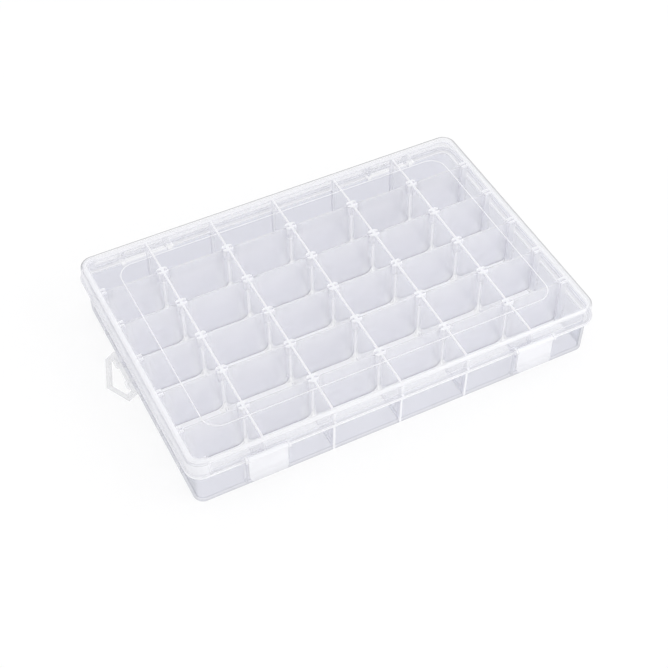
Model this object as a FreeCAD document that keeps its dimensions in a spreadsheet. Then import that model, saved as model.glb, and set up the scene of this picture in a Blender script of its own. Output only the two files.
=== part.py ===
import FreeCAD
import Part
import Sketcher
import math
import os

# A clear storage box with 36 compartments: a base tray, a hinged lid, two front latches, a hang loop and
# thirty loose dividers. X runs along the length, Y from front to rear, Z up. The origin is the centre of the
# underside of the base tray. Lengths are millimetres and angles are degrees.

doc = FreeCAD.newDocument("compartment_box")

# Driving dimensions. A value that ends in share is a part of the size that its use names.
SIZES = [
    # Grid of compartments
    ("columns", "6"),
    ("rows", "6"),
    ("column_pitch", "44"),
    ("row_pitch", "29.9"),
    ("end_column", "41.8"),
    ("end_row", "26.6"),
    # Base tray
    ("rim_height", "36.4"),
    ("floor", "1.5"),
    ("wall", "1.5"),
    ("draft", "0.7"),
    ("corner_radius", "7"),
    ("foot_radius", "1"),
    ("fixed_wall", "1.2"),
    ("post_width", "7"),
    ("post_depth", "5.2"),
    ("post_chamfer", "1.2"),
    ("post_web", "2"),
    ("guide_reach", "4.5"),
    ("guide_thickness", "1.5"),
    ("ledge_thickness", "1.2"),
    ("ledge_inset", "0.4"),
    # Loose dividers
    ("divider", "1.1"),
    ("divider_drop", "1"),
    ("divider_corner", "1.6"),
    ("divider_foot_radius", "5"),
    ("slot_clearance", "0.25"),
    ("end_clearance", "0.3"),
    ("wall_clearance", "1.5"),
    ("floor_clearance", "0.25"),
    # Lid
    ("lid_plate", "1.5"),
    ("head_room", "1.3"),
    ("lid_gap", "0.7"),
    ("skirt", "1.2"),
    ("skirt_depth", "10.4"),
    ("seat_gap", "0.3"),
    ("lip_reach", "1.1"),
    ("lip_height", "1.3"),
    ("lid_edge_radius", "2.2"),
    ("bead_inset", "18.6"),
    ("bead_radius", "11"),
    ("bead_width", "1.1"),
    ("bead_height", "0.6"),
    # Rear hinges
    ("hinge_width", "34.5"),
    ("ear", "3"),
    ("ear_radius", "2.7"),
    ("pin_diameter", "3"),
    ("pin_clearance", "0.3"),
    ("knuckle_wall", "1.5"),
    ("knuckle_gusset", "5.5"),
    ("hinge_side_gap", "0.3"),
    ("pin_behind", "3.3"),
    ("pin_drop", "3.4"),
    # Front latches
    ("latch_width", "24"),
    ("latch_plate", "1.6"),
    ("latch_length", "18.3"),
    ("latch_corner", "3"),
    ("latch_gap", "0.4"),
    ("latch_side_gap", "0.3"),
    ("flare", "1.4"),
    ("flare_height", "4"),
    ("barrel_diameter", "3.4"),
    ("trunnion_diameter", "2"),
    ("trunnion_clearance", "0.25"),
    ("latch_lug", "1.6"),
    ("latch_lug_wall", "0.8"),
    ("guard", "1.6"),
    ("guard_foot", "7"),
    # Hang loop
    ("loop_center", "4"),
    ("loop_width", "35"),
    ("loop_shoulder", "6.2"),
    ("loop_reach", "14"),
    ("loop_bar", "3"),
    ("loop_thickness", "2.6"),
    ("loop_tilt", "34"),
    ("loop_out", "2.1"),
    ("loop_drop", "3.2"),
    ("loop_pin", "3"),
    ("loop_clearance", "0.3"),
    ("loop_lug", "3.2"),
    ("loop_lug_wall", "1.4"),
    ("loop_lug_spacing", "18"),
    ("snap_share", "0.8"),
    # Cuts run this far past what they cut
    ("overrun", "1"),
    # An edge this close to a height or a side counts as lying there
    ("edge_tolerance", "0.001"),
]

# Places and sizes that follow from the driving dimensions. A name in _x or _y is half the full measure where
# the shape lies evenly about the origin.
PLACES = [
    ("wall_reach", "=(Size.columns - 2) / 2 * Size.column_pitch"),
    ("row_reach", "=(Size.rows - 2) / 2 * Size.row_pitch"),
    ("slope", "=Size.draft / Size.rim_height"),
    ("lean", "=atan(Place.slope)"),
    ("rim_inner_x", "=Place.wall_reach + Size.end_column"),
    ("rim_inner_y", "=Place.row_reach + Size.end_row"),
    ("rim_outer_x", "=Place.rim_inner_x + Size.wall"),
    ("rim_outer_y", "=Place.rim_inner_y + Size.wall"),
    ("rim_mid_x", "=Place.rim_inner_x + Size.wall / 2"),
    ("rim_mid_y", "=Place.rim_inner_y + Size.wall / 2"),
    ("floor_drop", "=Place.slope * (Size.rim_height - Size.floor)"),
    ("root_z", "=Size.floor / 2"),
    ("root_drop", "=Place.slope * (Size.rim_height - Place.root_z)"),
    ("inner_radius", "=Size.corner_radius - Size.wall"),
    ("slot", "=Size.divider + 2 * Size.slot_clearance"),
    ("guide_x", "=Place.rim_inner_x - Size.guide_reach"),
    ("guide_spacing", "=Place.slot + Size.guide_thickness"),
    ("lid_under", "=Size.rim_height + Size.head_room"),
    ("lid_top", "=Place.lid_under + Size.lid_plate"),
    ("skirt_bottom", "=Place.lid_under - Size.skirt_depth"),
    ("lid_inner_x", "=Place.rim_outer_x + Size.lid_gap"),
    ("lid_inner_y", "=Place.rim_outer_y + Size.lid_gap"),
    ("lid_outer_x", "=Place.lid_inner_x + Size.skirt"),
    ("lid_outer_y", "=Place.lid_inner_y + Size.skirt"),
    ("lid_inner_radius", "=Size.corner_radius + Size.lid_gap"),
    ("lid_outer_radius", "=Place.lid_inner_radius + Size.skirt"),
    ("skirt_mid_y", "=Place.lid_inner_y + Size.skirt / 2"),
    ("lip_x", "=Place.lid_outer_x + Size.lip_reach"),
    ("lip_y", "=Place.lid_outer_y + Size.lip_reach"),
    ("lip_radius", "=Place.lid_outer_radius + Size.lip_reach"),
    ("ledge_top", "=Place.skirt_bottom - Size.seat_gap"),
    ("ledge_bottom", "=Place.ledge_top - Size.ledge_thickness"),
    ("ledge_drop", "=Place.slope * (Size.rim_height - Place.ledge_bottom)"),
    ("ledge_x", "=Place.lip_x - Size.ledge_inset"),
    ("ledge_y", "=Place.lip_y - Size.ledge_inset"),
    ("ledge_radius", "=Place.lip_radius - Size.ledge_inset"),
    ("hinge_y", "=Place.lip_y + Size.pin_behind"),
    ("hinge_z", "=Place.skirt_bottom - Size.pin_drop"),
    ("ear_offset", "=(Size.hinge_width - Size.ear) / 2"),
    ("ear_drop", "=Place.slope * (Size.rim_height - Place.hinge_z)"),
    ("knuckle_width", "=Size.hinge_width - 2 * Size.ear - 2 * Size.hinge_side_gap"),
    ("knuckle_bore", "=Size.pin_diameter / 2 + Size.pin_clearance"),
    ("knuckle_radius", "=Place.knuckle_bore + Size.knuckle_wall"),
    ("latch_y", "=-(Place.lid_outer_y + Size.latch_gap + Size.barrel_diameter / 2)"),
    ("latch_z", "=Place.skirt_bottom + Place.latch_lug_radius"),
    ("latch_inner_y", "=-(Place.lip_y + Size.latch_gap)"),
    ("latch_outer_y", "=Place.latch_inner_y - Size.latch_plate"),
    ("latch_foot", "=Place.latch_z - Size.latch_length"),
    ("latch_bore", "=Size.trunnion_diameter / 2 + Size.trunnion_clearance"),
    ("latch_lug_radius", "=Place.latch_bore + Size.latch_lug_wall"),
    ("latch_lug_offset", "=Size.latch_width / 2 + Size.latch_side_gap + Size.latch_lug / 2"),
    ("guard_offset", "=Size.latch_width / 2 + Size.latch_side_gap + Size.guard / 2"),
    ("guard_drop", "=Place.slope * (Size.rim_height - Size.guard_foot)"),
    ("loop_x", "=-(Place.lip_x + Size.loop_out)"),
    ("loop_z", "=Place.ledge_bottom - Size.loop_drop"),
    ("loop_root", "=-(Place.rim_mid_x - Place.slope * (Size.rim_height - Place.loop_z))"),
    ("loop_bore", "=Size.loop_pin / 2 + Size.loop_clearance"),
    ("loop_lug_radius", "=Place.loop_bore + Size.loop_lug_wall"),
    ("divider_foot", "=Size.floor + Size.floor_clearance"),
    ("divider_top", "=Size.rim_height - Size.divider_drop"),
    ("slot_end", "=Size.post_web / 2 + Size.end_clearance"),
    ("divider_length", "=Size.column_pitch - 2 * Place.slot_end"),
    ("end_divider_near", "=Place.wall_reach + Place.slot_end"),
    ("end_divider_far", "=Place.rim_inner_x - Place.floor_drop - Size.wall_clearance"),
    ("end_divider_length", "=Place.end_divider_far - Place.end_divider_near"),
    ("end_divider_x", "=(Place.end_divider_far + Place.end_divider_near) / 2"),
]


def fill_sheet(name, cells):
    """Make a sheet with one named cell in each row."""
    sheet = doc.addObject("Spreadsheet::Sheet", name)
    for row, (alias, content) in enumerate(cells, start=1):
        sheet.set(f"A{row}", alias)
        sheet.set(f"B{row}", content)
        sheet.setAlias(f"B{row}", alias)
    return sheet


size_sheet = fill_sheet("Size", SIZES)
place_sheet = fill_sheet("Place", PLACES)
doc.recompute()


def value(expression):
    """The number that an expression has now."""
    return float(place_sheet.evalExpression(expression))


def new_body(label):
    body = doc.addObject("PartDesign::Body", label)
    body.Label = label
    return body


def origin_feature(body, role):
    return next(feature for feature in body.Origin.OriginFeatures if feature.Role == role)


def new_sketch(body, name, plane, offset="0"):
    """A sketch on one of the body's origin planes, moved along the plane's normal."""
    sketch = body.newObject("Sketcher::SketchObject", name)
    sketch.AttachmentSupport = [(origin_feature(body, plane), "")]
    sketch.MapMode = "FlatFace"
    sketch.setExpression("AttachmentOffset.Base.z", offset)
    return sketch


def pin_point(sketch, geometry, point, x, y):
    """Tie one point of a sketch to the sketch's origin by two expressions."""
    for kind, expression in (("DistanceX", x), ("DistanceY", y)):
        index = sketch.addConstraint(Sketcher.Constraint(kind, -1, 1, geometry, point, value(expression)))
        sketch.setExpression(f"Constraints[{index}]", expression)


def polygon(sketch, points):
    """A closed outline through points that are pairs of expressions."""
    corners = [FreeCAD.Vector(value(x), value(y), 0) for x, y in points]
    first = sketch.GeometryCount
    count = len(corners)
    for index in range(count):
        sketch.addGeometry(Part.LineSegment(corners[index], corners[(index + 1) % count]), False)
    for index in range(count):
        following = first + (index + 1) % count
        sketch.addConstraint(Sketcher.Constraint("Coincident", first + index, 2, following, 1))
    for index, (x, y) in enumerate(points):
        pin_point(sketch, first + index, 1, x, y)


def circle(sketch, x, y, radius):
    center = FreeCAD.Vector(value(x), value(y), 0)
    geometry = sketch.addGeometry(Part.Circle(center, FreeCAD.Vector(0, 0, 1), value(radius)), False)
    pin_point(sketch, geometry, 3, x, y)
    index = sketch.addConstraint(Sketcher.Constraint("Radius", geometry, value(radius)))
    sketch.setExpression(f"Constraints[{index}]", radius)


def add_arc(sketch, x, y, radius, start, end):
    """An arc about a point that expressions give, with its radius tied and its ends left free."""
    center = FreeCAD.Vector(value(x), value(y), 0)
    full = Part.Circle(center, FreeCAD.Vector(0, 0, 1), value(radius))
    arc = Part.ArcOfCircle(full, math.radians(start), math.radians(end))
    geometry = sketch.addGeometry(arc, False)
    pin_point(sketch, geometry, 3, x, y)
    index = sketch.addConstraint(Sketcher.Constraint("Radius", geometry, value(radius)))
    sketch.setExpression(f"Constraints[{index}]", radius)
    return geometry


def rounded_rectangle(sketch, half_x, half_y, radius):
    """A rectangle about the origin with four round corners, made of arcs and tangent lines."""
    arcs = []
    for sign_x, sign_y, start in (("", "", 0), ("-", "", 90), ("-", "-", 180), ("", "-", 270)):
        x = f"{sign_x}({half_x} - {radius})"
        y = f"{sign_y}({half_y} - {radius})"
        arcs.append(add_arc(sketch, x, y, radius, start, start + 90))
    for arc, following in zip(arcs, arcs[1:] + arcs[:1]):
        start = sketch.Geometry[arc].EndPoint
        end = sketch.Geometry[following].StartPoint
        line = sketch.addGeometry(Part.LineSegment(start, end), False)
        sketch.addConstraint(Sketcher.Constraint("Tangent", arc, 2, line, 1))
        sketch.addConstraint(Sketcher.Constraint("Tangent", line, 2, following, 1))


def lug(sketch, root, x, y, radius):
    """A straight arm from a root line to a round end about a pivot, along the sketch's first axis."""
    outward = value(x) > value(root)
    start = 270 if outward else 90
    arc = add_arc(sketch, x, y, radius, start, start + 180)
    near = "+" if outward else "-"
    far = "-" if outward else "+"
    ends = [(root, f"{y} {near} {radius}"), (root, f"{y} {far} {radius}")]
    corners = [FreeCAD.Vector(value(a), value(b), 0) for a, b in ends]
    top = sketch.addGeometry(Part.LineSegment(sketch.Geometry[arc].EndPoint, corners[0]), False)
    back = sketch.addGeometry(Part.LineSegment(corners[0], corners[1]), False)
    bottom = sketch.addGeometry(Part.LineSegment(corners[1], sketch.Geometry[arc].StartPoint), False)
    sketch.addConstraint(Sketcher.Constraint("Tangent", arc, 2, top, 1))
    sketch.addConstraint(Sketcher.Constraint("Coincident", top, 2, back, 1))
    sketch.addConstraint(Sketcher.Constraint("Coincident", back, 2, bottom, 1))
    sketch.addConstraint(Sketcher.Constraint("Tangent", bottom, 2, arc, 1))
    sketch.addConstraint(Sketcher.Constraint("Horizontal", top))
    sketch.addConstraint(Sketcher.Constraint("Vertical", back))
    index = sketch.addConstraint(Sketcher.Constraint("DistanceX", -1, 1, back, 1, value(root)))
    sketch.setExpression(f"Constraints[{index}]", root)


def extrude(body, kind, name, sketch, length, symmetric=False, reverse=False):
    """A pad or pocket whose length is an expression."""
    feature = body.newObject(f"PartDesign::{kind}", name)
    feature.Profile = sketch
    feature.SideType = "Symmetric" if symmetric else "One side"
    feature.Reversed = reverse
    feature.setExpression("Length", length)
    body.Tip = feature
    return feature


def grid_pattern(body, name, original, *directions):
    """Copies of a feature in one or two directions, each an axis, a count and a spacing."""
    pattern = body.newObject("PartDesign::LinearPattern", name)
    pattern.Originals = [original]
    # Minus one stands for the even spacing, in place of a first step of zero
    pattern.Spacings2 = [-1]
    for suffix, (axis, count, spacing) in zip(("", "2"), directions):
        setattr(pattern, f"Direction{suffix}", (origin_feature(body, axis), [""]))
        setattr(pattern, f"Mode{suffix}", "Spacing")
        pattern.setExpression(f"Occurrences{suffix}", count)
        pattern.setExpression(f"Offset{suffix}", spacing)
    body.Tip = pattern
    return pattern


def round_edges(body, name, base, radius, picks):
    """A fillet on the edges of a feature that the test picks."""
    doc.recompute()
    edges = [f"Edge{index}" for index, edge in enumerate(base.Shape.Edges, start=1) if picks(edge)]
    feature = body.newObject("PartDesign::Fillet", name)
    feature.Base = (base, edges)
    feature.setExpression("Radius", radius)
    body.Tip = feature
    return feature


def level_at(expression):
    """A test for edges that lie level at one height."""
    height = value(expression)
    touch = value("Size.edge_tolerance")
    return lambda edge: all(abs(v.Z - height) < touch for v in edge.Vertexes)


BOTH_SIDES = ("X_Axis", "2", "2 * Place.wall_reach")


def cut_gaps(body, name, layer, half, near, far):
    """Two cuts through a layer of some height, at the places of the latches and hinges, from near to far."""
    level, height = layer
    outline = new_sketch(body, f"{name}Outline", "XY_Plane", level)
    left = f"-Place.wall_reach - {half}"
    right = f"-Place.wall_reach + {half}"
    polygon(outline, [(left, near), (left, far), (right, far), (right, near)])
    notch = extrude(body, "Pocket", name, outline, height, reverse=True)
    grid_pattern(body, f"{name}s", notch, BOTH_SIDES)


def make_tray_shell(tray):
    """Floor and walls that lean out from the foot to the rim."""
    foot = new_sketch(tray, "TrayFoot", "XY_Plane")
    rounded_rectangle(foot, "(Place.rim_outer_x - Size.draft)", "(Place.rim_outer_y - Size.draft)",
                      "(Size.corner_radius - Size.draft)")
    block = extrude(tray, "Pad", "TrayBlock", foot, "Size.rim_height")
    block.setExpression("TaperAngle", "Place.lean")
    round_edges(tray, "TrayFootRound", block, "Size.foot_radius", level_at("0"))
    mouth = new_sketch(tray, "CavityMouth", "XY_Plane", "Size.rim_height")
    rounded_rectangle(mouth, "Place.rim_inner_x", "Place.rim_inner_y", "Place.inner_radius")
    cavity = extrude(tray, "Pocket", "Cavity", mouth, "Size.rim_height - Size.floor")
    cavity.setExpression("TaperAngle", "-Place.lean")


def make_fixed_walls(tray):
    """Walls from front to rear, each with slotted posts."""
    outline = new_sketch(tray, "FixedWallOutline", "YZ_Plane", "-Place.wall_reach")
    polygon(outline, [
        ("-(Place.rim_mid_y - Place.root_drop)", "Place.root_z"),
        ("Place.rim_mid_y - Place.root_drop", "Place.root_z"),
        ("Place.rim_mid_y", "Size.rim_height"),
        ("-Place.rim_mid_y", "Size.rim_height"),
    ])
    plate = extrude(tray, "Pad", "FixedWall", outline, "Size.fixed_wall", symmetric=True)
    walls = ("X_Axis", "Size.columns - 1", "Size.column_pitch")
    grid_pattern(tray, "FixedWalls", plate, walls)

    half = ("Size.post_width / 2", "Size.post_depth / 2")
    cut = (f"({half[0]} - Size.post_chamfer)", f"({half[1]} - Size.post_chamfer)")
    slot = "Place.slot / 2"
    web = "Size.post_web / 2"
    corners = [
        (web, slot), (half[0], slot), (half[0], cut[1]), (cut[0], half[1]),
    ]
    quarters = [("", "", 1), ("-", "", -1), ("-", "-", 1), ("", "-", -1)]
    points = []
    for sign_x, sign_y, order in quarters:
        for x, y in corners[::order]:
            points.append((f"-Place.wall_reach + {sign_x}({x})", f"-Place.row_reach + {sign_y}({y})"))
    post_outline = new_sketch(tray, "PostOutline", "XY_Plane", "Place.root_z")
    polygon(post_outline, points)
    post = extrude(tray, "Pad", "Post", post_outline, "Size.rim_height - Place.root_z")
    grid_pattern(tray, "Posts", post, walls, ("Y_Axis", "Size.rows - 1", "Size.row_pitch"))


def make_side_guides(tray):
    """Pairs of ribs on the left and right walls that hold the outer ends of the end dividers."""
    for side, sign in (("Left", "-"), ("Right", "")):
        front = "Place.row_reach + Place.guide_spacing / 2"
        outline = new_sketch(tray, f"{side}GuideOutline", "XZ_Plane", front)
        polygon(outline, [
            (f"{sign}Place.guide_x", "Place.root_z"),
            (f"{sign}(Place.rim_mid_x - Place.root_drop)", "Place.root_z"),
            (f"{sign}Place.rim_mid_x", "Size.rim_height"),
            (f"{sign}Place.guide_x", "Size.rim_height"),
        ])
        rib = extrude(tray, "Pad", f"{side}Guide", outline, "Size.guide_thickness", symmetric=True)
        grid_pattern(tray, f"{side}Guides", rib, ("Y_Axis", "Size.rows - 1", "Size.row_pitch"),
                     ("Y_Axis", "2", "Place.guide_spacing"))


def make_ledge(tray):
    """Ledge just under the lid's skirt, all round but for the hinges."""
    outline = new_sketch(tray, "LedgeOutline", "XY_Plane", "Place.ledge_bottom")
    rounded_rectangle(outline, "Place.ledge_x", "Place.ledge_y", "Place.ledge_radius")
    rounded_rectangle(outline, "(Place.rim_mid_x - Place.ledge_drop)", "(Place.rim_mid_y - Place.ledge_drop)",
                      "(Size.corner_radius - Size.wall / 2 - Place.ledge_drop)")
    extrude(tray, "Pad", "Ledge", outline, "Size.ledge_thickness")
    cut_gaps(tray, "LedgeGap", ("Place.ledge_bottom", "Size.ledge_thickness"), "Size.hinge_width / 2",
             "Place.rim_outer_y", "Place.ledge_y + Size.overrun")


def make_hinge_ears(tray):
    """Four ears on the rear wall and the two pins between them."""
    outline = new_sketch(tray, "EarOutline", "YZ_Plane", "-Place.wall_reach - Place.ear_offset")
    lug(outline, "Place.rim_mid_y - Place.ear_drop", "Place.hinge_y", "Place.hinge_z", "Size.ear_radius")
    ear = extrude(tray, "Pad", "Ear", outline, "Size.ear", symmetric=True)
    grid_pattern(tray, "Ears", ear, BOTH_SIDES, ("X_Axis", "2", "2 * Place.ear_offset"))
    section = new_sketch(tray, "PinSection", "YZ_Plane", "-Place.wall_reach")
    circle(section, "Place.hinge_y", "Place.hinge_z", "Size.pin_diameter / 2")
    pin = extrude(tray, "Pad", "Pin", section, "2 * Place.ear_offset", symmetric=True)
    grid_pattern(tray, "Pins", pin, BOTH_SIDES)


def make_latch_guards(tray):
    """Ribs on the front wall, one each side of a latch."""
    outline = new_sketch(tray, "GuardOutline", "YZ_Plane", "-Place.wall_reach - Place.guard_offset")
    ledge_middle = "Place.ledge_bottom + Size.ledge_thickness / 2"
    polygon(outline, [
        ("-Place.ledge_y", "Size.guard_foot"),
        ("-(Place.rim_mid_y - Place.guard_drop)", "Size.guard_foot"),
        ("-(Place.rim_mid_y - Place.ledge_drop)", ledge_middle),
        ("-Place.ledge_y", ledge_middle),
    ])
    rib = extrude(tray, "Pad", "Guard", outline, "Size.guard", symmetric=True)
    grid_pattern(tray, "Guards", rib, BOTH_SIDES, ("X_Axis", "2", "2 * Place.guard_offset"))


def make_loop_lugs(tray):
    """Two clip lugs on the left wall, open below so that the hang loop's pin snaps in."""
    outline = new_sketch(tray, "LoopLugOutline", "XZ_Plane", "Size.loop_lug_spacing / 2 - Size.loop_center")
    lug(outline, "Place.loop_root", "Place.loop_x", "Place.loop_z", "Place.loop_lug_radius")
    circle(outline, "Place.loop_x", "Place.loop_z", "Place.loop_bore")
    arm = extrude(tray, "Pad", "LoopLug", outline, "Size.loop_lug", symmetric=True)
    grid_pattern(tray, "LoopLugs", arm, ("Y_Axis", "2", "Size.loop_lug_spacing"))
    mouth = new_sketch(tray, "SnapMouth", "XZ_Plane", "-Size.loop_center")
    half = "Size.loop_pin * Size.snap_share / 2"
    low = "Place.loop_z - Place.loop_lug_radius - Size.overrun"
    polygon(mouth, [
        (f"Place.loop_x - {half}", low),
        (f"Place.loop_x + {half}", low),
        (f"Place.loop_x + {half}", "Place.loop_z"),
        (f"Place.loop_x - {half}", "Place.loop_z"),
    ])
    extrude(tray, "Pocket", "Snap", mouth, "Size.loop_lug_spacing + Size.loop_lug + 2 * Size.overrun",
            symmetric=True)


def make_base_tray():
    tray = new_body("base_tray")
    make_tray_shell(tray)
    make_ledge(tray)
    make_hinge_ears(tray)
    make_latch_guards(tray)
    make_loop_lugs(tray)
    make_side_guides(tray)
    make_fixed_walls(tray)
    return tray


def make_lid_shell(lid):
    """Plate with a rounded edge and a skirt that goes over the rim."""
    outline = new_sketch(lid, "LidOutline", "XY_Plane", "Place.skirt_bottom")
    rounded_rectangle(outline, "Place.lid_outer_x", "Place.lid_outer_y", "Place.lid_outer_radius")
    block = extrude(lid, "Pad", "LidBlock", outline, "Place.lid_top - Place.skirt_bottom")
    round_edges(lid, "LidEdge", block, "Size.lid_edge_radius", level_at("Place.lid_top"))
    inside = new_sketch(lid, "LidInside", "XY_Plane", "Place.skirt_bottom")
    rounded_rectangle(inside, "Place.lid_inner_x", "Place.lid_inner_y", "Place.lid_inner_radius")
    extrude(lid, "Pocket", "LidHollow", inside, "Size.skirt_depth", reverse=True)


def make_lid_lip(lid):
    """Lip round the foot of the skirt, cut away where the latches hang and at the hinges."""
    outline = new_sketch(lid, "LipOutline", "XY_Plane", "Place.skirt_bottom")
    rounded_rectangle(outline, "Place.lip_x", "Place.lip_y", "Place.lip_radius")
    rounded_rectangle(outline, "(Place.lid_outer_x - Size.skirt / 2)", "Place.skirt_mid_y",
                      "(Place.lid_outer_radius - Size.skirt / 2)")
    extrude(lid, "Pad", "Lip", outline, "Size.lip_height")
    far = "Place.lip_y + Size.overrun"
    latch_half = "(Size.latch_width / 2 + Size.latch_side_gap)"
    hinge_half = "(Size.hinge_width / 2 + Size.hinge_side_gap)"
    layer = ("Place.skirt_bottom", "Size.lip_height")
    cut_gaps(lid, "LatchGap", layer, latch_half, "-Place.lid_outer_y", f"-({far})")
    cut_gaps(lid, "HingeGap", layer, hinge_half, "Place.lid_outer_y", far)


def make_stacking_bead(lid):
    """Thin raised line on the plate, which keeps a stacked box in place."""
    outline = new_sketch(lid, "BeadOutline", "XY_Plane", "Place.lid_top - Size.lid_plate / 2")
    outer_x = "Place.lid_outer_x - Size.bead_inset"
    outer_y = "Place.lid_outer_y - Size.bead_inset"
    rounded_rectangle(outline, f"({outer_x})", f"({outer_y})", "Size.bead_radius")
    rounded_rectangle(outline, f"({outer_x} - Size.bead_width)", f"({outer_y} - Size.bead_width)",
                      "(Size.bead_radius - Size.bead_width)")
    extrude(lid, "Pad", "Bead", outline, "Size.lid_plate / 2 + Size.bead_height")


def make_knuckles(lid):
    """Two sleeves that turn on the hinge pins, each with a gusset up the rear of the skirt."""
    outline = new_sketch(lid, "KnuckleOutline", "YZ_Plane", "-Place.wall_reach")
    radius = "Place.knuckle_radius"
    arc = add_arc(outline, "Place.hinge_y", "Place.hinge_z", radius, 180, 360)
    points = [
        (f"Place.hinge_y + {radius}", "Place.hinge_z"),
        ("Place.skirt_mid_y", "Place.skirt_bottom + Size.knuckle_gusset"),
        ("Place.skirt_mid_y", "Place.skirt_bottom"),
        (f"Place.hinge_y - {radius}", "Place.skirt_bottom"),
        (f"Place.hinge_y - {radius}", "Place.hinge_z"),
    ]
    corners = [FreeCAD.Vector(value(x), value(y), 0) for x, y in points]
    lines = [outline.addGeometry(Part.LineSegment(a, b), False) for a, b in zip(corners, corners[1:])]
    ring = [arc] + lines
    for before, after in zip(ring, ring[1:] + ring[:1]):
        outline.addConstraint(Sketcher.Constraint("Coincident", before, 2, after, 1))
    for line, (x, y) in zip(lines[1:], points[1:4]):
        pin_point(outline, line, 1, x, y)
    for line in (lines[0], lines[-1]):
        point = 1 if line == lines[0] else 2
        height = value("Place.hinge_z")
        index = outline.addConstraint(Sketcher.Constraint("DistanceY", -1, 1, line, point, height))
        outline.setExpression(f"Constraints[{index}]", "Place.hinge_z")
    circle(outline, "Place.hinge_y", "Place.hinge_z", "Place.knuckle_bore")
    knuckle = extrude(lid, "Pad", "Knuckle", outline, "Place.knuckle_width", symmetric=True)
    grid_pattern(lid, "Knuckles", knuckle, BOTH_SIDES)


def make_latch_lugs(lid):
    """Pairs of lugs on the front of the skirt that hold the latches' trunnions."""
    outline = new_sketch(lid, "LatchLugOutline", "YZ_Plane", "-Place.wall_reach - Place.latch_lug_offset")
    lug(outline, "-Place.skirt_mid_y", "Place.latch_y", "Place.latch_z", "Place.latch_lug_radius")
    circle(outline, "Place.latch_y", "Place.latch_z", "Place.latch_bore")
    arm = extrude(lid, "Pad", "LatchLug", outline, "Size.latch_lug", symmetric=True)
    grid_pattern(lid, "LatchLugs", arm, BOTH_SIDES, ("X_Axis", "2", "2 * Place.latch_lug_offset"))


def make_lid():
    lid = new_body("lid")
    make_lid_shell(lid)
    make_lid_lip(lid)
    make_stacking_bead(lid)
    make_knuckles(lid)
    make_latch_lugs(lid)
    return lid


def make_latch(label, middle):
    """A flap with a barrel along its top, a trunnion at each end and a flared finger edge."""
    latch = new_body(label)
    profile = new_sketch(latch, f"{label}_profile", "YZ_Plane", middle)
    polygon(profile, [
        ("Place.latch_inner_y", "Place.latch_z"),
        ("Place.latch_inner_y", "Place.latch_foot + Size.flare_height"),
        ("Place.latch_inner_y - Size.flare", "Place.latch_foot"),
        ("Place.latch_outer_y - Size.flare", "Place.latch_foot"),
        ("Place.latch_outer_y", "Place.latch_foot + Size.flare_height"),
        ("Place.latch_outer_y", "Place.latch_z"),
    ])
    plate = extrude(latch, "Pad", f"{label}_plate", profile, "Size.latch_width", symmetric=True)
    side = value("Size.latch_width") / 2
    foot = value("Place.latch_foot")
    offset = value(middle)
    touch = value("Size.edge_tolerance")

    def lower_corner(edge):
        ends = edge.Vertexes
        at_foot = all(abs(v.Z - foot) < touch for v in ends)
        at_side = all(abs(abs(v.X - offset) - side) < touch for v in ends)
        return at_foot and at_side and abs(ends[0].X - ends[1].X) < side

    round_edges(latch, f"{label}_corners", plate, "Size.latch_corner", lower_corner)
    barrel = new_sketch(latch, f"{label}_barrel_section", "YZ_Plane", middle)
    circle(barrel, "Place.latch_y", "Place.latch_z", "Size.barrel_diameter / 2")
    extrude(latch, "Pad", f"{label}_barrel", barrel, "Size.latch_width", symmetric=True)
    trunnion = new_sketch(latch, f"{label}_trunnion_section", "YZ_Plane", middle)
    circle(trunnion, "Place.latch_y", "Place.latch_z", "Size.trunnion_diameter / 2")
    extrude(latch, "Pad", f"{label}_trunnions", trunnion, "2 * Place.latch_lug_offset + Size.latch_lug",
            symmetric=True)
    return latch


def make_hang_loop():
    """A five-sided ring: a round pin in the clip lugs, two short sides and two arms that meet in a point."""
    ring = new_body("hang_loop")
    outline = new_sketch(ring, "RingOutline", "XY_Plane")
    half = "Size.loop_width / 2"
    bar = "Size.loop_bar"
    outer = [("0", half), ("-Size.loop_shoulder", half), ("-Size.loop_reach", "0")]
    inside = f"({half} - {bar})"
    elbow = f"-(Size.loop_shoulder - {bar} / 2)"
    inner = [(f"-(Size.loop_reach - {bar})", "0"), (elbow, inside), ("0", inside)]
    mirrored = [(x, f"-{y}") for x, y in outer[1::-1]]
    inner_mirrored = [(x, f"-{y}") for x, y in inner[:0:-1]]
    polygon(outline, outer + mirrored + inner_mirrored + inner)
    extrude(ring, "Pad", "Ring", outline, "Size.loop_thickness", symmetric=True)
    section = new_sketch(ring, "LoopPinSection", "XZ_Plane")
    circle(section, "0", "0", "Size.loop_pin / 2")
    extrude(ring, "Pad", "LoopPin", section, "Size.loop_width", symmetric=True)
    ring.Placement.Rotation = FreeCAD.Rotation(FreeCAD.Vector(0, -1, 0), value("Size.loop_tilt"))
    ring.setExpression("Placement.Rotation.Angle", "Size.loop_tilt")
    ring.setExpression("Placement.Base.x", "Place.loop_x")
    ring.setExpression("Placement.Base.y", "Size.loop_center")
    ring.setExpression("Placement.Base.z", "Place.loop_z")
    return ring


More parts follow.
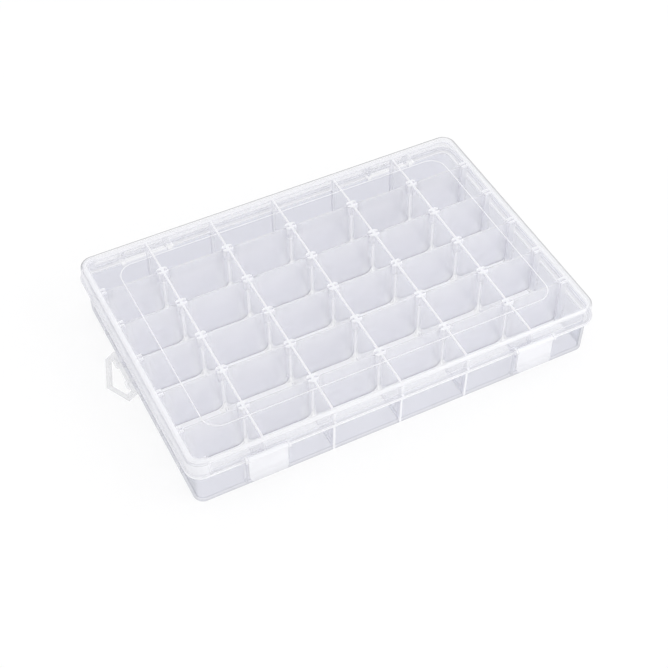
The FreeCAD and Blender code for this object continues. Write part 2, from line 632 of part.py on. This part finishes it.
def make_divider(label, length, middle_x, middle_y):
    """A loose plate with clipped top corners and round lower corners."""
    divider = new_body(label)
    outline = new_sketch(divider, f"{label}_outline", "XZ_Plane")
    half = f"{length} / 2"
    clipped = f"({half} - Size.divider_corner)"
    shoulder = "Place.divider_top - Size.divider_corner"
    upper = [(half, shoulder), (clipped, "Place.divider_top"), (f"-{clipped}", "Place.divider_top"),
             (f"-{half}", shoulder)]
    radius = "Size.divider_foot_radius"
    level = f"Place.divider_foot + {radius}"
    right = add_arc(outline, f"{half} - {radius}", level, radius, 270, 360)
    left = add_arc(outline, f"-({half} - {radius})", level, radius, 180, 270)
    corners = [FreeCAD.Vector(value(x), value(y), 0) for x, y in upper]
    ends = [outline.Geometry[right].EndPoint] + corners + [outline.Geometry[left].StartPoint]
    sides = [outline.addGeometry(Part.LineSegment(a, b), False) for a, b in zip(ends, ends[1:])]
    foot_ends = (outline.Geometry[left].EndPoint, outline.Geometry[right].StartPoint)
    foot = outline.addGeometry(Part.LineSegment(*foot_ends), False)
    for before, after in zip(sides, sides[1:]):
        outline.addConstraint(Sketcher.Constraint("Coincident", before, 2, after, 1))
    for side, (x, y) in zip(sides, upper):
        pin_point(outline, side, 2, x, y)
    for before, after in ((right, sides[0]), (sides[-1], left), (left, foot), (foot, right)):
        outline.addConstraint(Sketcher.Constraint("Tangent", before, 2, after, 1))
    extrude(divider, "Pad", f"{label}_plate", outline, "Size.divider", symmetric=True)
    divider.setExpression("Placement.Base.x", middle_x)
    divider.setExpression("Placement.Base.y", middle_y)
    return divider


def make_dividers():
    """One divider for each column and row of slots, counted from the left and from the front."""
    columns = int(size_sheet.get("columns"))
    rows = int(size_sheet.get("rows"))
    dividers = []
    for column in range(1, columns + 1):
        length = "Place.divider_length"
        middle_x = f"({column} - (Size.columns + 1) / 2) * Size.column_pitch"
        if column in (1, columns):
            length = "Place.end_divider_length"
            middle_x = "-Place.end_divider_x" if column == 1 else "Place.end_divider_x"
        for row in range(1, rows):
            middle_y = f"({row} - Size.rows / 2) * Size.row_pitch"
            dividers.append(make_divider(f"divider_c{column}_r{row}", length, middle_x, middle_y))
    return dividers


pieces = [
    make_base_tray(),
    make_lid(),
    make_latch("latch_left", "-Place.wall_reach"),
    make_latch("latch_right", "Place.wall_reach"),
    make_hang_loop(),
]
pieces += make_dividers()
doc.recompute()

faults = [item.Name for item in doc.Objects if "Invalid" in item.State or "Error" in item.State]
for piece in pieces:
    shape = piece.Shape
    if shape.isNull() or not shape.isValid() or len(shape.Solids) != 1:
        faults.append(piece.Label)
if faults:
    raise RuntimeError(f"these objects failed: {faults}")

os.makedirs("parts", exist_ok=True)
for piece in pieces:
    piece.Shape.exportStep(f"parts/{piece.Label}.step")
    box = piece.Shape.BoundBox
    low = f"{box.XMin:.2f} {box.YMin:.2f} {box.ZMin:.2f}"
    high = f"{box.XMax:.2f} {box.YMax:.2f} {box.ZMax:.2f}"
    print(f"{piece.Label}: {piece.Shape.Volume:.1f} mm3, from {low} to {high}")
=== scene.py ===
# %% [markdown]
# # A clear storage box with compartments
# The shapes of this box come from a CAD model: a base tray, a hinged lid, two latches, a hang loop and thirty
# loose dividers. Blender's job is the look: clear moulded plastic in bright, even light. We load the shapes first
# and keep the size they have.

# %% Load the frame
import math

import bpy
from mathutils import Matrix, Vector

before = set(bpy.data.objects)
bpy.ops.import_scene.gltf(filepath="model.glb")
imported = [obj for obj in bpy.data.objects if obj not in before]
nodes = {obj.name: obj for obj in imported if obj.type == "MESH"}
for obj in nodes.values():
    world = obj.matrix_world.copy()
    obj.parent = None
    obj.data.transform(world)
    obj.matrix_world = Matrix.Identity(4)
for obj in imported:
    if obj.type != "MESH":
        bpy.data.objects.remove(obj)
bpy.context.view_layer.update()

# %% [markdown]
# ## The camera
# A product photograph is often taken from the front left and from above, with a long lens that keeps edges almost
# parallel. The camera here looks at one point of the lid from a given bearing and height. We could place it by
# hand, but an angle, a distance and a lens are easier to read and to change.

# %% Camera
bearing, height_angle = math.radians(-27.09), math.radians(48.21)
look_at, distance = Vector((-0.01819, -0.03655, 0.0377)), 0.83352
lens_mm, sensor_mm = 75.93, 36
away = Vector((math.sin(bearing) * math.cos(height_angle), -math.cos(bearing) * math.cos(height_angle),
               math.sin(height_angle)))
camera_data = bpy.data.cameras.new("camera")
camera_data.sensor_width = sensor_mm
camera_data.lens = lens_mm
camera = bpy.data.objects.new("camera", camera_data)
bpy.context.scene.collection.objects.link(camera)
camera.location = look_at + away * distance
camera.rotation_euler = (-away).to_track_quat("-Z", "Y").to_euler()
bpy.context.scene.camera = camera
print("camera at", [round(v, 3) for v in camera.location])

# %% [markdown]
# ## The room
# Clear plastic shows its surroundings, so the room matters more than any lamp. A room that shines evenly from all
# sides, in a white that is a touch cool, gives the soft look of a light tent. Light has to pass many thin walls in
# this box, so we also let it cross more surfaces than Blender's default allows.

# %% Room
scene = bpy.context.scene
scene.view_settings.view_transform = "Standard"
scene.cycles.max_bounces = 16
scene.cycles.diffuse_bounces = 12
scene.cycles.transparent_max_bounces = 64
room_level, room_colour = 1.0, (0.985, 0.988, 1, 1)
room = bpy.data.worlds.new("white_room")
scene.world = room
room.use_nodes = True
room_nodes, room_links = room.node_tree.nodes, room.node_tree.links
room_nodes.clear()
shine = room_nodes.new("ShaderNodeBackground")
shine.inputs["Strength"].default_value = room_level
shine.inputs["Color"].default_value = room_colour
room_out = room_nodes.new("ShaderNodeOutputWorld")
room_links.new(shine.outputs["Background"], room_out.inputs["Surface"])
print("room at", room_level)

# %% [markdown]
# ## The lamp
# One large, weak lamp at the front right makes that side a little brighter than the left. A small hard lamp would
# draw sharp spots on the lid, which a light tent avoids.


# %% Lamp
def soft_lamp(name, place, target, side, watts):
    """A square area lamp that points from a place to a target."""
    data = bpy.data.lights.new(name, "AREA")
    data.size = side
    data.energy = watts
    lamp = bpy.data.objects.new(name, data)
    bpy.context.scene.collection.objects.link(lamp)
    lamp.location = place
    lamp.rotation_euler = (Vector(target) - Vector(place)).to_track_quat("-Z", "Y").to_euler()
    return lamp


key_lamp = soft_lamp("key_lamp", place=(1.1, -1.0, 1.3), target=(0, 0, 0), side=1.0, watts=7)
print("lamp of", key_lamp.data.energy, "W")

# %% [markdown]
# ## Small tools for materials
# A material is a tree of nodes. The helpers below add one node each and hand back its output, which keeps the later
# cells short. A socket takes either a link or a plain value, so one helper decides which of the two it was given.


# %% Node helpers
def fresh_tree(name):
    """A new material with an empty node tree."""
    material = bpy.data.materials.new(name)
    material.use_nodes = True
    material.node_tree.nodes.clear()
    return material, material.node_tree


def plug(tree, value, socket):
    """Link an output to a socket, or set a plain number or colour on it."""
    if isinstance(value, bpy.types.NodeSocket):
        tree.links.new(value, socket)
    else:
        socket.default_value = value


def calc(tree, operation, *values):
    """One Math node."""
    node = tree.nodes.new("ShaderNodeMath")
    node.operation = operation
    for value, socket in zip(values, node.inputs):
        plug(tree, value, socket)
    return node.outputs[0]


def blend(tree, share, first, second):
    """A Mix Shader node: the first shader, with a share of the second."""
    node = tree.nodes.new("ShaderNodeMixShader")
    plug(tree, share, node.inputs[0])
    tree.links.new(first.outputs[0], node.inputs[1])
    tree.links.new(second.outputs[0], node.inputs[2])
    return node


def close(tree, shader):
    """Send the finished shader to the surface."""
    out = tree.nodes.new("ShaderNodeOutputMaterial")
    tree.links.new(shader.outputs[0], out.inputs["Surface"])


print("node helpers ready")

# %% [markdown]
# ## The floor
# The box stands on a white sheet. The sheet takes the shadow like any pale surface, but most of what the camera sees
# of it is plain white, which is how such pictures are exposed. The Light Path node tells the camera's rays, mirror
# rays and rays through glass from the rest, so the box itself gets no extra light from this. The sheet lies a hair
# below the box, so that the two flat faces don't fight for the same place.

# %% White sheet
reach, sheet_drop = 4.0, 0.0003
corners = [(-reach, -reach, 0), (reach, -reach, 0), (reach, reach, 0), (-reach, reach, 0)]
sheet_mesh = bpy.data.meshes.new("white_sheet")
sheet_mesh.from_pydata(corners, [], [(0, 1, 2, 3)])
white_sheet = bpy.data.objects.new("white_sheet", sheet_mesh)
white_sheet.location.z = -sheet_drop
bpy.context.scene.collection.objects.link(white_sheet)
paper_colour, white_share = (0.96, 0.96, 0.96, 1), 0.8
paper, tree = fresh_tree("white_paper")
rays = tree.nodes.new("ShaderNodeLightPath")
straight = calc(tree, "MAXIMUM", rays.outputs["Is Camera Ray"], rays.outputs["Is Glossy Ray"])
straight = calc(tree, "MAXIMUM", straight, rays.outputs["Is Transmission Ray"])
dull = tree.nodes.new("ShaderNodeBsdfDiffuse")
dull.inputs["Color"].default_value = paper_colour
glow = tree.nodes.new("ShaderNodeEmission")
glow.inputs["Strength"].default_value = 1.0
close(tree, blend(tree, calc(tree, "MULTIPLY", straight, white_share), dull, glow))
sheet_mesh.materials.append(paper)
print("floor", 2 * reach, "m wide")

# %% [markdown]
# ## Masks
# A moulded box is one plastic all over, but it looks different at a thin wall, a thick post and an edge. A mask is a
# number that is 1 at such a place and 0 elsewhere. We build masks from soft steps and join them: a product means
# "here and there", the larger of two means "here or there".


# %% Mask helpers
def step(tree, value, low, high):
    """A soft step from 0 at low to 1 at high; high may be below low."""
    node = tree.nodes.new("ShaderNodeMapRange")
    node.interpolation_type = "SMOOTHSTEP"
    plug(tree, value, node.inputs["Value"])
    node.inputs["From Min"].default_value = low
    node.inputs["From Max"].default_value = high
    return node.outputs["Result"]


def within(tree, value, low, high, soft=0.15):
    """1 between two values and 0 outside, with soft ends."""
    rising = step(tree, value, low - soft, low + soft)
    return calc(tree, "MULTIPLY", rising, step(tree, value, high + soft, high - soft))


def all_of(tree, *masks):
    """The product of several masks."""
    result = masks[0]
    for mask in masks[1:]:
        result = calc(tree, "MULTIPLY", result, mask)
    return result


def any_of(tree, *masks):
    """The largest of several masks."""
    result = masks[0]
    for mask in masks[1:]:
        result = calc(tree, "MAXIMUM", result, mask)
    return result


def away_from(tree, mask):
    """The opposite of a mask."""
    return calc(tree, "SUBTRACT", 1.0, mask)


print("mask helpers ready")

# %% [markdown]
# A mask is used like masking tape: a base value first, then one layer after another, each with its own value where
# its mask is on. One helper does this for numbers and one for colours.


# %% Layer helpers
def number(tree, base, *layers):
    """A number that goes to another value wherever a mask is on."""
    result = base
    for mask, target in layers:
        node = tree.nodes.new("ShaderNodeMix")
        plug(tree, mask, node.inputs["Factor"])
        plug(tree, result, node.inputs["A"])
        plug(tree, target, node.inputs["B"])
        result = node.outputs["Result"]
    return result


def shade(tree, base, *layers):
    """A colour that goes to another colour wherever a mask is on."""
    result = base
    for mask, target in layers:
        node = tree.nodes.new("ShaderNodeMix")
        node.data_type = "RGBA"
        plug(tree, mask, node.inputs["Factor"])
        plug(tree, result, node.inputs[6])
        plug(tree, target, node.inputs[7])
        result = node.outputs[2]
    return result


print("layer helpers ready")

# %% [markdown]
# Every mask starts from the same facts about a point of a piece: where it is, in millimetres, how far it lies inside
# a rounded outline, and which way the surface faces. The Object coordinates of the Texture Coordinate node give the
# first and its Normal output the last. Both turn with the piece, so the look stays put when the lid swings.


# %% Places on a piece
class Spot:
    """The position in millimetres and the facing of a point on a piece."""

    def __init__(self, tree):
        coordinates = tree.nodes.new("ShaderNodeTexCoord")
        scaled = tree.nodes.new("ShaderNodeVectorMath")
        scaled.operation = "SCALE"
        scaled.inputs["Scale"].default_value = 1000
        tree.links.new(coordinates.outputs["Object"], scaled.inputs[0])
        self.tree, self.place = tree, scaled.outputs[0]
        place = tree.nodes.new("ShaderNodeSeparateXYZ")
        tree.links.new(self.place, place.inputs[0])
        self.x, self.y, self.z = place.outputs
        facing = tree.nodes.new("ShaderNodeSeparateXYZ")
        tree.links.new(coordinates.outputs["Normal"], facing.inputs[0])
        self.nx, self.ny = facing.outputs[0], facing.outputs[1]
        self.side_x = calc(tree, "ABSOLUTE", self.x)
        self.side_y = calc(tree, "ABSOLUTE", self.y)

    def inset(self, half_x, half_y, radius):
        """How far a point lies inside a rounded rectangle about the middle of the box."""
        tree = self.tree
        over_x = calc(tree, "SUBTRACT", self.side_x, half_x - radius)
        over_y = calc(tree, "SUBTRACT", self.side_y, half_y - radius)
        out_x, out_y = calc(tree, "MAXIMUM", over_x, 0.0), calc(tree, "MAXIMUM", over_y, 0.0)
        squares = calc(tree, "ADD", calc(tree, "POWER", out_x, 2.0), calc(tree, "POWER", out_y, 2.0))
        inner = calc(tree, "MINIMUM", calc(tree, "MAXIMUM", over_x, over_y), 0.0)
        outward = calc(tree, "ADD", calc(tree, "SQRT", squares), inner)
        return calc(tree, "SUBTRACT", radius, outward)

    def slant(self):
        """0 where the surface is seen square on, 1 where it is seen edge on."""
        node = self.tree.nodes.new("ShaderNodeLayerWeight")
        node.inputs["Blend"].default_value = 0.5
        return node.outputs["Facing"]


print("position masks ready")

# %% [markdown]
# ## The surface
# A moulded surface is never a perfect plane. Slow waves from the cooling plastic and fine specks from the mould go
# into a very shallow bump, and the specks also vary the roughness. A Noise Texture on the position in millimetres
# gives both, at a size that we can read.


# %% Surface relief
def specks(spot, scale, detail):
    """Noise that is fixed to the piece; a larger scale means finer specks."""
    node = spot.tree.nodes.new("ShaderNodeTexNoise")
    node.inputs["Scale"].default_value = scale
    node.inputs["Detail"].default_value = detail
    spot.tree.links.new(spot.place, node.inputs["Vector"])
    return node.outputs["Fac"]


def moulded_relief(spot, slow, fine):
    """A bump of slow waves with a few fine specks."""
    tree, fine_share, depth = spot.tree, 0.02, 0.00001
    bump = tree.nodes.new("ShaderNodeBump")
    bump.inputs["Strength"].default_value = 1.0
    bump.inputs["Distance"].default_value = depth
    tree.links.new(calc(tree, "ADD", slow, calc(tree, "MULTIPLY", fine, fine_share)), bump.inputs["Height"])
    return bump.outputs[0]


print("relief helpers ready")

# %% [markdown]
# ## The plastic itself
# Clear polystyrene lets most light through, reflects a little at its surface and scatters a little inside. For a thin
# wall a Transparent shader with a pale tint is enough: real bending of light in a wall this thin moves things by less
# than a millimetre, and a Glass shader would only add noise. The cover value says how much milky plastic hides what
# is behind. One share of the milky part is Translucent, which shows light from behind, and the rest is Principled,
# lit from the front. A Layer Weight raised to the fifth power gives the mirror layer that grows at a grazing angle.


# %% Plastic builder
def milky_part(spot, colour, rough, relief, through):
    """Plastic that scatters light: lit from the front, and from behind by the share called through."""
    tree = spot.tree
    front = tree.nodes.new("ShaderNodeBsdfPrincipled")
    plug(tree, colour, front.inputs["Base Color"])
    plug(tree, rough, front.inputs["Roughness"])
    front.inputs["IOR"].default_value = 1.58
    tree.links.new(relief, front.inputs["Normal"])
    behind = tree.nodes.new("ShaderNodeBsdfTranslucent")
    plug(tree, colour, behind.inputs["Color"])
    return blend(tree, through, front, behind)


def with_gloss(spot, body, rough, relief):
    """Lay a mirror over a shader, weak when seen square on and stronger at a grazing angle."""
    tree, square_on, grazing_gain = spot.tree, 0.025, 0.18
    grazing = tree.nodes.new("ShaderNodeLayerWeight")
    grazing.inputs["Blend"].default_value = 0.5
    tree.links.new(relief, grazing.inputs["Normal"])
    steep = calc(tree, "POWER", grazing.outputs["Facing"], 5.0)
    gloss = tree.nodes.new("ShaderNodeBsdfGlossy")
    gloss.inputs["Color"].default_value = (1, 1, 1, 1)
    plug(tree, rough, gloss.inputs["Roughness"])
    tree.links.new(relief, gloss.inputs["Normal"])
    return blend(tree, calc(tree, "MULTIPLY_ADD", steep, grazing_gain, square_on), body, gloss)


def plastic(spot, colour, cover, tint, roughness, through=0.5):
    """Finish a material: tinted clear plastic, milky where cover is high, with gloss on top."""
    tree = spot.tree
    slow, fine = specks(spot, 0.06, 3.0), specks(spot, 1.4, 2.0)
    relief = moulded_relief(spot, slow, fine)
    rough = number(tree, roughness, (fine, roughness * 1.5))
    cloudy = calc(tree, "MULTIPLY", cover, number(tree, 0.9, (slow, 1.1)))
    clear = tree.nodes.new("ShaderNodeBsdfTransparent")
    plug(tree, tint, clear.inputs["Color"])
    body = blend(tree, cloudy, clear, milky_part(spot, colour, rough, relief, through))
    close(tree, with_gloss(spot, body, rough, relief))


def dress(material, *names):
    """Give pieces a material in place of the plain one that they came with."""
    for name in names:
        mesh = nodes[name].data
        mesh.materials.clear()
        mesh.materials.append(material)
    print(material.name, "on", len(names), "pieces")


print("plastic builder ready")

# %% [markdown]
# ## Base tray: walls and posts
# The tray is one clear moulding, with fixed walls from front to back and posts that hold the dividers. Walls and
# posts stand on an even grid, so a repeat of the position with Ping-Pong finds all of them at once. We could paint
# each one by hand, but then a change of the grid would mean painting them all again.

# %% Walls and posts
clear_base, tree = fresh_tree("clear_base")
spot = Spot(tree)
grid_x, grid_y = 44.0, 29.9
to_wall = calc(tree, "PINGPONG", spot.x, grid_x / 2)
to_row = calc(tree, "PINGPONG", spot.y, grid_y / 2)
inner_x = step(tree, spot.side_x, 101, 100)
inner_y = step(tree, spot.side_y, 75, 74)
rim_top = step(tree, spot.z, 35.4, 35.8)
wall = all_of(tree, step(tree, to_wall, 1.0, 0.7), inner_x, step(tree, spot.z, 1.4, 1.8))
wall_end = all_of(tree, step(tree, to_wall, 0.8, 0.6), inner_x, step(tree, spot.side_y, 83.8, 84.2))
wall_foot = all_of(tree, step(tree, to_wall, 0.9, 0.7), inner_x, within(tree, spot.z, 1.4, 3.6))
post = all_of(tree, step(tree, to_wall, 3.8, 3.4), step(tree, to_row, 6.5, 2.4), inner_x, inner_y)
# painted highlight: the upper part of each post is made milky white
post_top_painted_light = all_of(tree, post, step(tree, spot.z, 25.0, 34.0))
guide = all_of(tree, step(tree, spot.side_x, 125.0, 125.4), step(tree, to_row, 2.6, 2.4), inner_y,
               step(tree, spot.side_x, 131.0, 130.6))
print("masks for walls, posts and guides:", len(tree.nodes), "nodes")

# %% [markdown]
# ## Base tray: the outside
# Seen from outside, the tray has a skin of four walls, a ledge under the lid's skirt, and small lugs that stick out
# for the hinges and the loop. The skin has a painted shade: a deeper tint than the inner walls of the same moulding.
# Where the skin is seen at a slant, and along its bottom edge, the painted shade deepens further. The rear and right
# walls, seen from within, get a still deeper painted shade than the front.

# %% Outside of the base
rim_x, rim_y, rim_corner = 131.4, 88.0, 7.0
hinge_middle = 88.0
outer = spot.inset(rim_x, rim_y, rim_corner)
outside = step(tree, outer, 0.0, -0.3)
from_hinge = calc(tree, "ABSOLUTE", calc(tree, "SUBTRACT", spot.side_x, hinge_middle))
over_hinge = all_of(tree, step(tree, spot.y, 80, 81), step(tree, from_hinge, 18.5, 18.0))
by_hinge = all_of(tree, over_hinge, step(tree, spot.z, 24.5, 25.5))
skin = all_of(tree, step(tree, outer, 3.2, 2.8), step(tree, spot.z, 26.5, 25.5), away_from(tree, outside))
# masks for painted shade: deeper tints on the rear, right, slanted and bottom parts of the skin
rear_skin_painted_shade = all_of(tree, skin, step(tree, spot.y, 84, 85))
right_skin_painted_shade = all_of(tree, skin, step(tree, spot.x, 127.5, 128.5))
slant_painted_shade = all_of(tree, skin, step(tree, spot.slant(), 0.45, 0.75))
bottom = all_of(tree, step(tree, spot.z, 1.8, 1.65), step(tree, outer, 1.6, 2.0))
bottom_edge_painted_shade = all_of(tree, skin, step(tree, spot.z, 2.0, 1.7))
ledge = all_of(tree, outside, within(tree, spot.z, 25.7, 27.1, 0.05), away_from(tree, over_hinge))
ledge_root = all_of(tree, step(tree, outer, 2.2, 1.9), within(tree, spot.z, 26.0, 26.9, 0.1),
                    away_from(tree, over_hinge))
lug = all_of(tree, outside, step(tree, spot.z, 25.75, 25.65))
print("masks for the outside:", len(tree.nodes), "nodes")

# %% [markdown]
# ## Base tray: the finish
# Thin walls are almost invisible, but light travels inside the plastic and comes out at its edges. The tops of the
# walls, the ledge and the lines where walls meet get a painted highlight: white, with a high cover. The posts are
# clear below, where the white sheet shows through them, and get a painted highlight at the top, white and milky where
# light falls on them.

# %% Clear base
white = (0.987, 0.987, 1.0, 1)
pale = (0.94, 0.94, 0.965, 1)
# painted highlight: wall tops, the ledge, wall ends and wall feet go white and nearly opaque
painted_highlight_edges = any_of(tree, rim_top, ledge_root, wall_end, wall_foot)
cover = number(tree, 0.03, (skin, 0.05), (wall, 0.24), (guide, 0.4), (post, 0.12), (post_top_painted_light, 0.7),
               (lug, 0.15), (ledge, 0.5), (painted_highlight_edges, 0.95))
colour = shade(tree, pale, (any_of(tree, wall, post, guide, lug, ledge, painted_highlight_edges), white))
# painted shade: the skin, its rear and right walls, its bottom edge and its slanted parts get deeper tints
tint = shade(tree, (0.995, 0.995, 0.999, 1),
             (bottom, (0.972, 0.973, 0.986, 1)),
             (any_of(tree, wall, post, guide), (0.998, 0.998, 1.0, 1)),
             (skin, (0.935, 0.937, 0.957, 1)),
             (right_skin_painted_shade, (0.88, 0.883, 0.915, 1)),
             (rear_skin_painted_shade, (0.865, 0.868, 0.905, 1)),
             (bottom_edge_painted_shade, (0.85, 0.852, 0.88, 1)),
             (slant_painted_shade, (0.83, 0.835, 0.855, 1)),
             (by_hinge, (0.99, 0.99, 0.995, 1)))
through = number(tree, 0.5, (any_of(tree, post, guide, painted_highlight_edges), 0.2))
plastic(spot, colour, cover, tint, roughness=0.16, through=through)
dress(clear_base, "base_tray")

# %% [markdown]
# ## Lid: its parts
# The lid is a flat plate with a rounded edge, a skirt with a lip at its foot, a thin stacking bead on top, hinge
# sleeves behind and lugs for the latches in front. How far a point lies inside the lid's outline tells most of these
# apart, and the height tells the rest.

# %% Places on the lid
clear_lid, tree = fresh_tree("clear_lid")
spot = Spot(tree)
lid_x, lid_y, lid_corner = 133.2, 89.8, 8.9
bead_x, bead_y, bead_corner = 114.6, 71.2, 11.0
from_edge = spot.inset(lid_x, lid_y, lid_corner)
from_bead = spot.inset(bead_x, bead_y, bead_corner)
bead = all_of(tree, step(tree, spot.z, 39.25, 39.35), within(tree, from_bead, 0.2, 0.85, 0.1))
rounded = all_of(tree, step(tree, from_edge, 2.4, 1.6), step(tree, spot.z, 36.6, 37.6))
lip = all_of(tree, step(tree, from_edge, 0.3, -0.1), within(tree, spot.z, 27.0, 27.9, 0.05))
skirt = all_of(tree, step(tree, from_edge, 1.7, 1.3), step(tree, spot.z, 37.6, 36.6))
hinge = step(tree, spot.y, 90.1, 90.4)
hinge_side = all_of(tree, hinge, step(tree, calc(tree, "ABSOLUTE", spot.nx), 0.6, 0.8))
lug = all_of(tree, step(tree, spot.y, -90.1, -90.4), step(tree, spot.z, 28.6, 28.8))
rear_edge = any_of(tree, step(tree, spot.y, 80, 81), step(tree, spot.x, 124, 125))
# painted shade on the skirt and rounded edge at the rear and right
rear_skirt_painted_shade = all_of(tree, rear_edge, any_of(tree, skirt, rounded), away_from(tree, hinge))
inner_line_painted_highlight = all_of(tree, rear_edge, within(tree, from_edge, 2.4, 3.3, 0.1), step(tree, spot.z, 38.8, 39.1))
left_side = step(tree, spot.x, -120, -124)
left_rim = all_of(tree, left_side, step(tree, from_edge, 0.9, 0.5))
left_band_painted_highlight = all_of(tree, left_side, step(tree, from_edge, 5.0, 3.5))
print("masks for the lid:", len(tree.nodes), "nodes")

# %% [markdown]
# ## Lid: the finish
# The lid is the same clear plastic, and its plate hides almost nothing. The lip, the bead, the band along the left
# edge, the rounded edge at the front and a thin line inside the rear edge get a painted highlight: white, with a
# higher cover. At the rear and right the rounded edge stays clear, and there it and the skirt get a painted shade,
# a deeper tint. Seen at a slant the edge bends light away, which leaves a thin grey outline; this outline is a
# painted shade, a tint that deepens with the slant.

# %% Clear lid
# painted highlight: the bead, the lip and the sides of the hinge sleeves go white and nearly opaque
painted_highlight_edges = any_of(tree, bead, lip, hinge_side)
# painted highlight: a milky white rounded edge, kept clear at the rear and right and at the outer rim on the left
rounded_painted_highlight = number(tree, 0.55, (any_of(tree, rear_edge, left_rim), 0.05))
cover = number(tree, 0.012, (skirt, 0.08), (left_band_painted_highlight, 0.65), (rounded, rounded_painted_highlight), (hinge, 0.06), (lug, 0.6),
               (painted_highlight_edges, 0.95), (inner_line_painted_highlight, 0.2))
milky_and_painted_highlight = any_of(tree, skirt, left_band_painted_highlight, rounded, hinge, lug, painted_highlight_edges)
colour = shade(tree, pale, (milky_and_painted_highlight, white), (inner_line_painted_highlight, white))
# painted shade: a dark tint where the edge is seen at a slant, and a deeper tint on the rear skirt
outline_painted_shade = all_of(tree, step(tree, spot.slant(), 0.28, 0.5), step(tree, from_edge, 2.6, 2.2),
                 step(tree, spot.z, 38.3, 38.5))
tint = shade(tree, (0.998, 0.998, 0.999, 1),
             (rear_skirt_painted_shade, (0.972, 0.973, 0.98, 1)),
             (outline_painted_shade, (0.6, 0.6, 0.605, 1)))
plastic(spot, colour, cover, tint, roughness=0.14, through=0.3)
dress(clear_lid, "lid")

# %% [markdown]
# ## Dividers
# The loose dividers are moulded in a cheaper, milky plastic. A painted light makes them whitest and most milky at the
# top, where light falls on them, and a painted shade takes them to a lavender tone towards the floor. Their ends
# stand in the posts and get a painted highlight, clearer and whiter than the middle. The narrow faces along the foot
# catch little light, and a painted shade makes them a dark line.

# %% Milky dividers
milky_divider, tree = fresh_tree("milky_divider")
spot = Spot(tree)
# painted light: whiter and more milky towards the top, a lavender painted shade towards the floor
top_painted_light = step(tree, spot.z, 4.0, 34.0)
narrow = step(tree, calc(tree, "ABSOLUTE", spot.ny), 0.7, 0.5)
# painted shade: a dark line along the narrow faces at the foot
foot_painted_shade = all_of(tree, narrow, step(tree, spot.z, 7.5, 6.5))
to_wall = calc(tree, "PINGPONG", spot.x, grid_x / 2)
by_post = all_of(tree, step(tree, to_wall, 10.0, 3.0), step(tree, spot.side_x, 101, 100))
# painted highlight: whiter ends where the dividers stand in the posts
end_painted_highlight = any_of(tree, by_post, step(tree, spot.side_x, 117.0, 125.0))
cover = number(tree, 0.35, (top_painted_light, 0.54), (end_painted_highlight, 0.24), (foot_painted_shade, 0.7))
colour = shade(tree, (0.955, 0.955, 1.0, 1),
               (top_painted_light, (0.985, 0.985, 1.0, 1)),
               (end_painted_highlight, white),
               (foot_painted_shade, (0.52, 0.52, 0.57, 1)))
plastic(spot, colour, cover, tint=(0.992, 0.992, 1.0, 1), roughness=0.3)
dress(milky_divider, *[name for name in nodes if name.startswith("divider")])

# %% [markdown]
# ## Latches
# The latches are milky and thick, so they read as white, with a softer foot where they taper. A plain white
# material would hide the base behind the thin foot, so the cover falls towards it, and the foot also gets a greyer
# colour, a painted shade.

# %% Latches
milky_latch, tree = fresh_tree("milky_latch")
spot = Spot(tree)
upper = step(tree, spot.z, 10.0, 20.0)
cover = number(tree, 0.6, (upper, 0.85))
# painted shade: a greyer colour on the lower part of the latch
colour = shade(tree, (0.95, 0.95, 0.965, 1), (upper, white))
plastic(spot, colour, cover, tint=(0.98, 0.98, 0.985, 1), roughness=0.25, through=0.2)
dress(milky_latch, "latch_left", "latch_right")

# %% [markdown]
# ## Hang loop
# The hang loop is a thin ring of cloudy plastic that turns on a pin at the left end. It lets about two thirds of the
# light straight through, and a little more at its far side.

# %% Hang loop
loop_plastic, tree = fresh_tree("loop_plastic")
spot = Spot(tree)
far_side = step(tree, spot.x, -138.0, -148.0)
cover = number(tree, 0.32, (far_side, 0.27))
colour = shade(tree, (0.995, 0.995, 0.997, 1), (far_side, (0.99, 0.99, 0.993, 1)))
plastic(spot, colour, cover, tint=(0.99, 0.99, 0.992, 1), roughness=0.3)
dress(loop_plastic, "hang_loop")
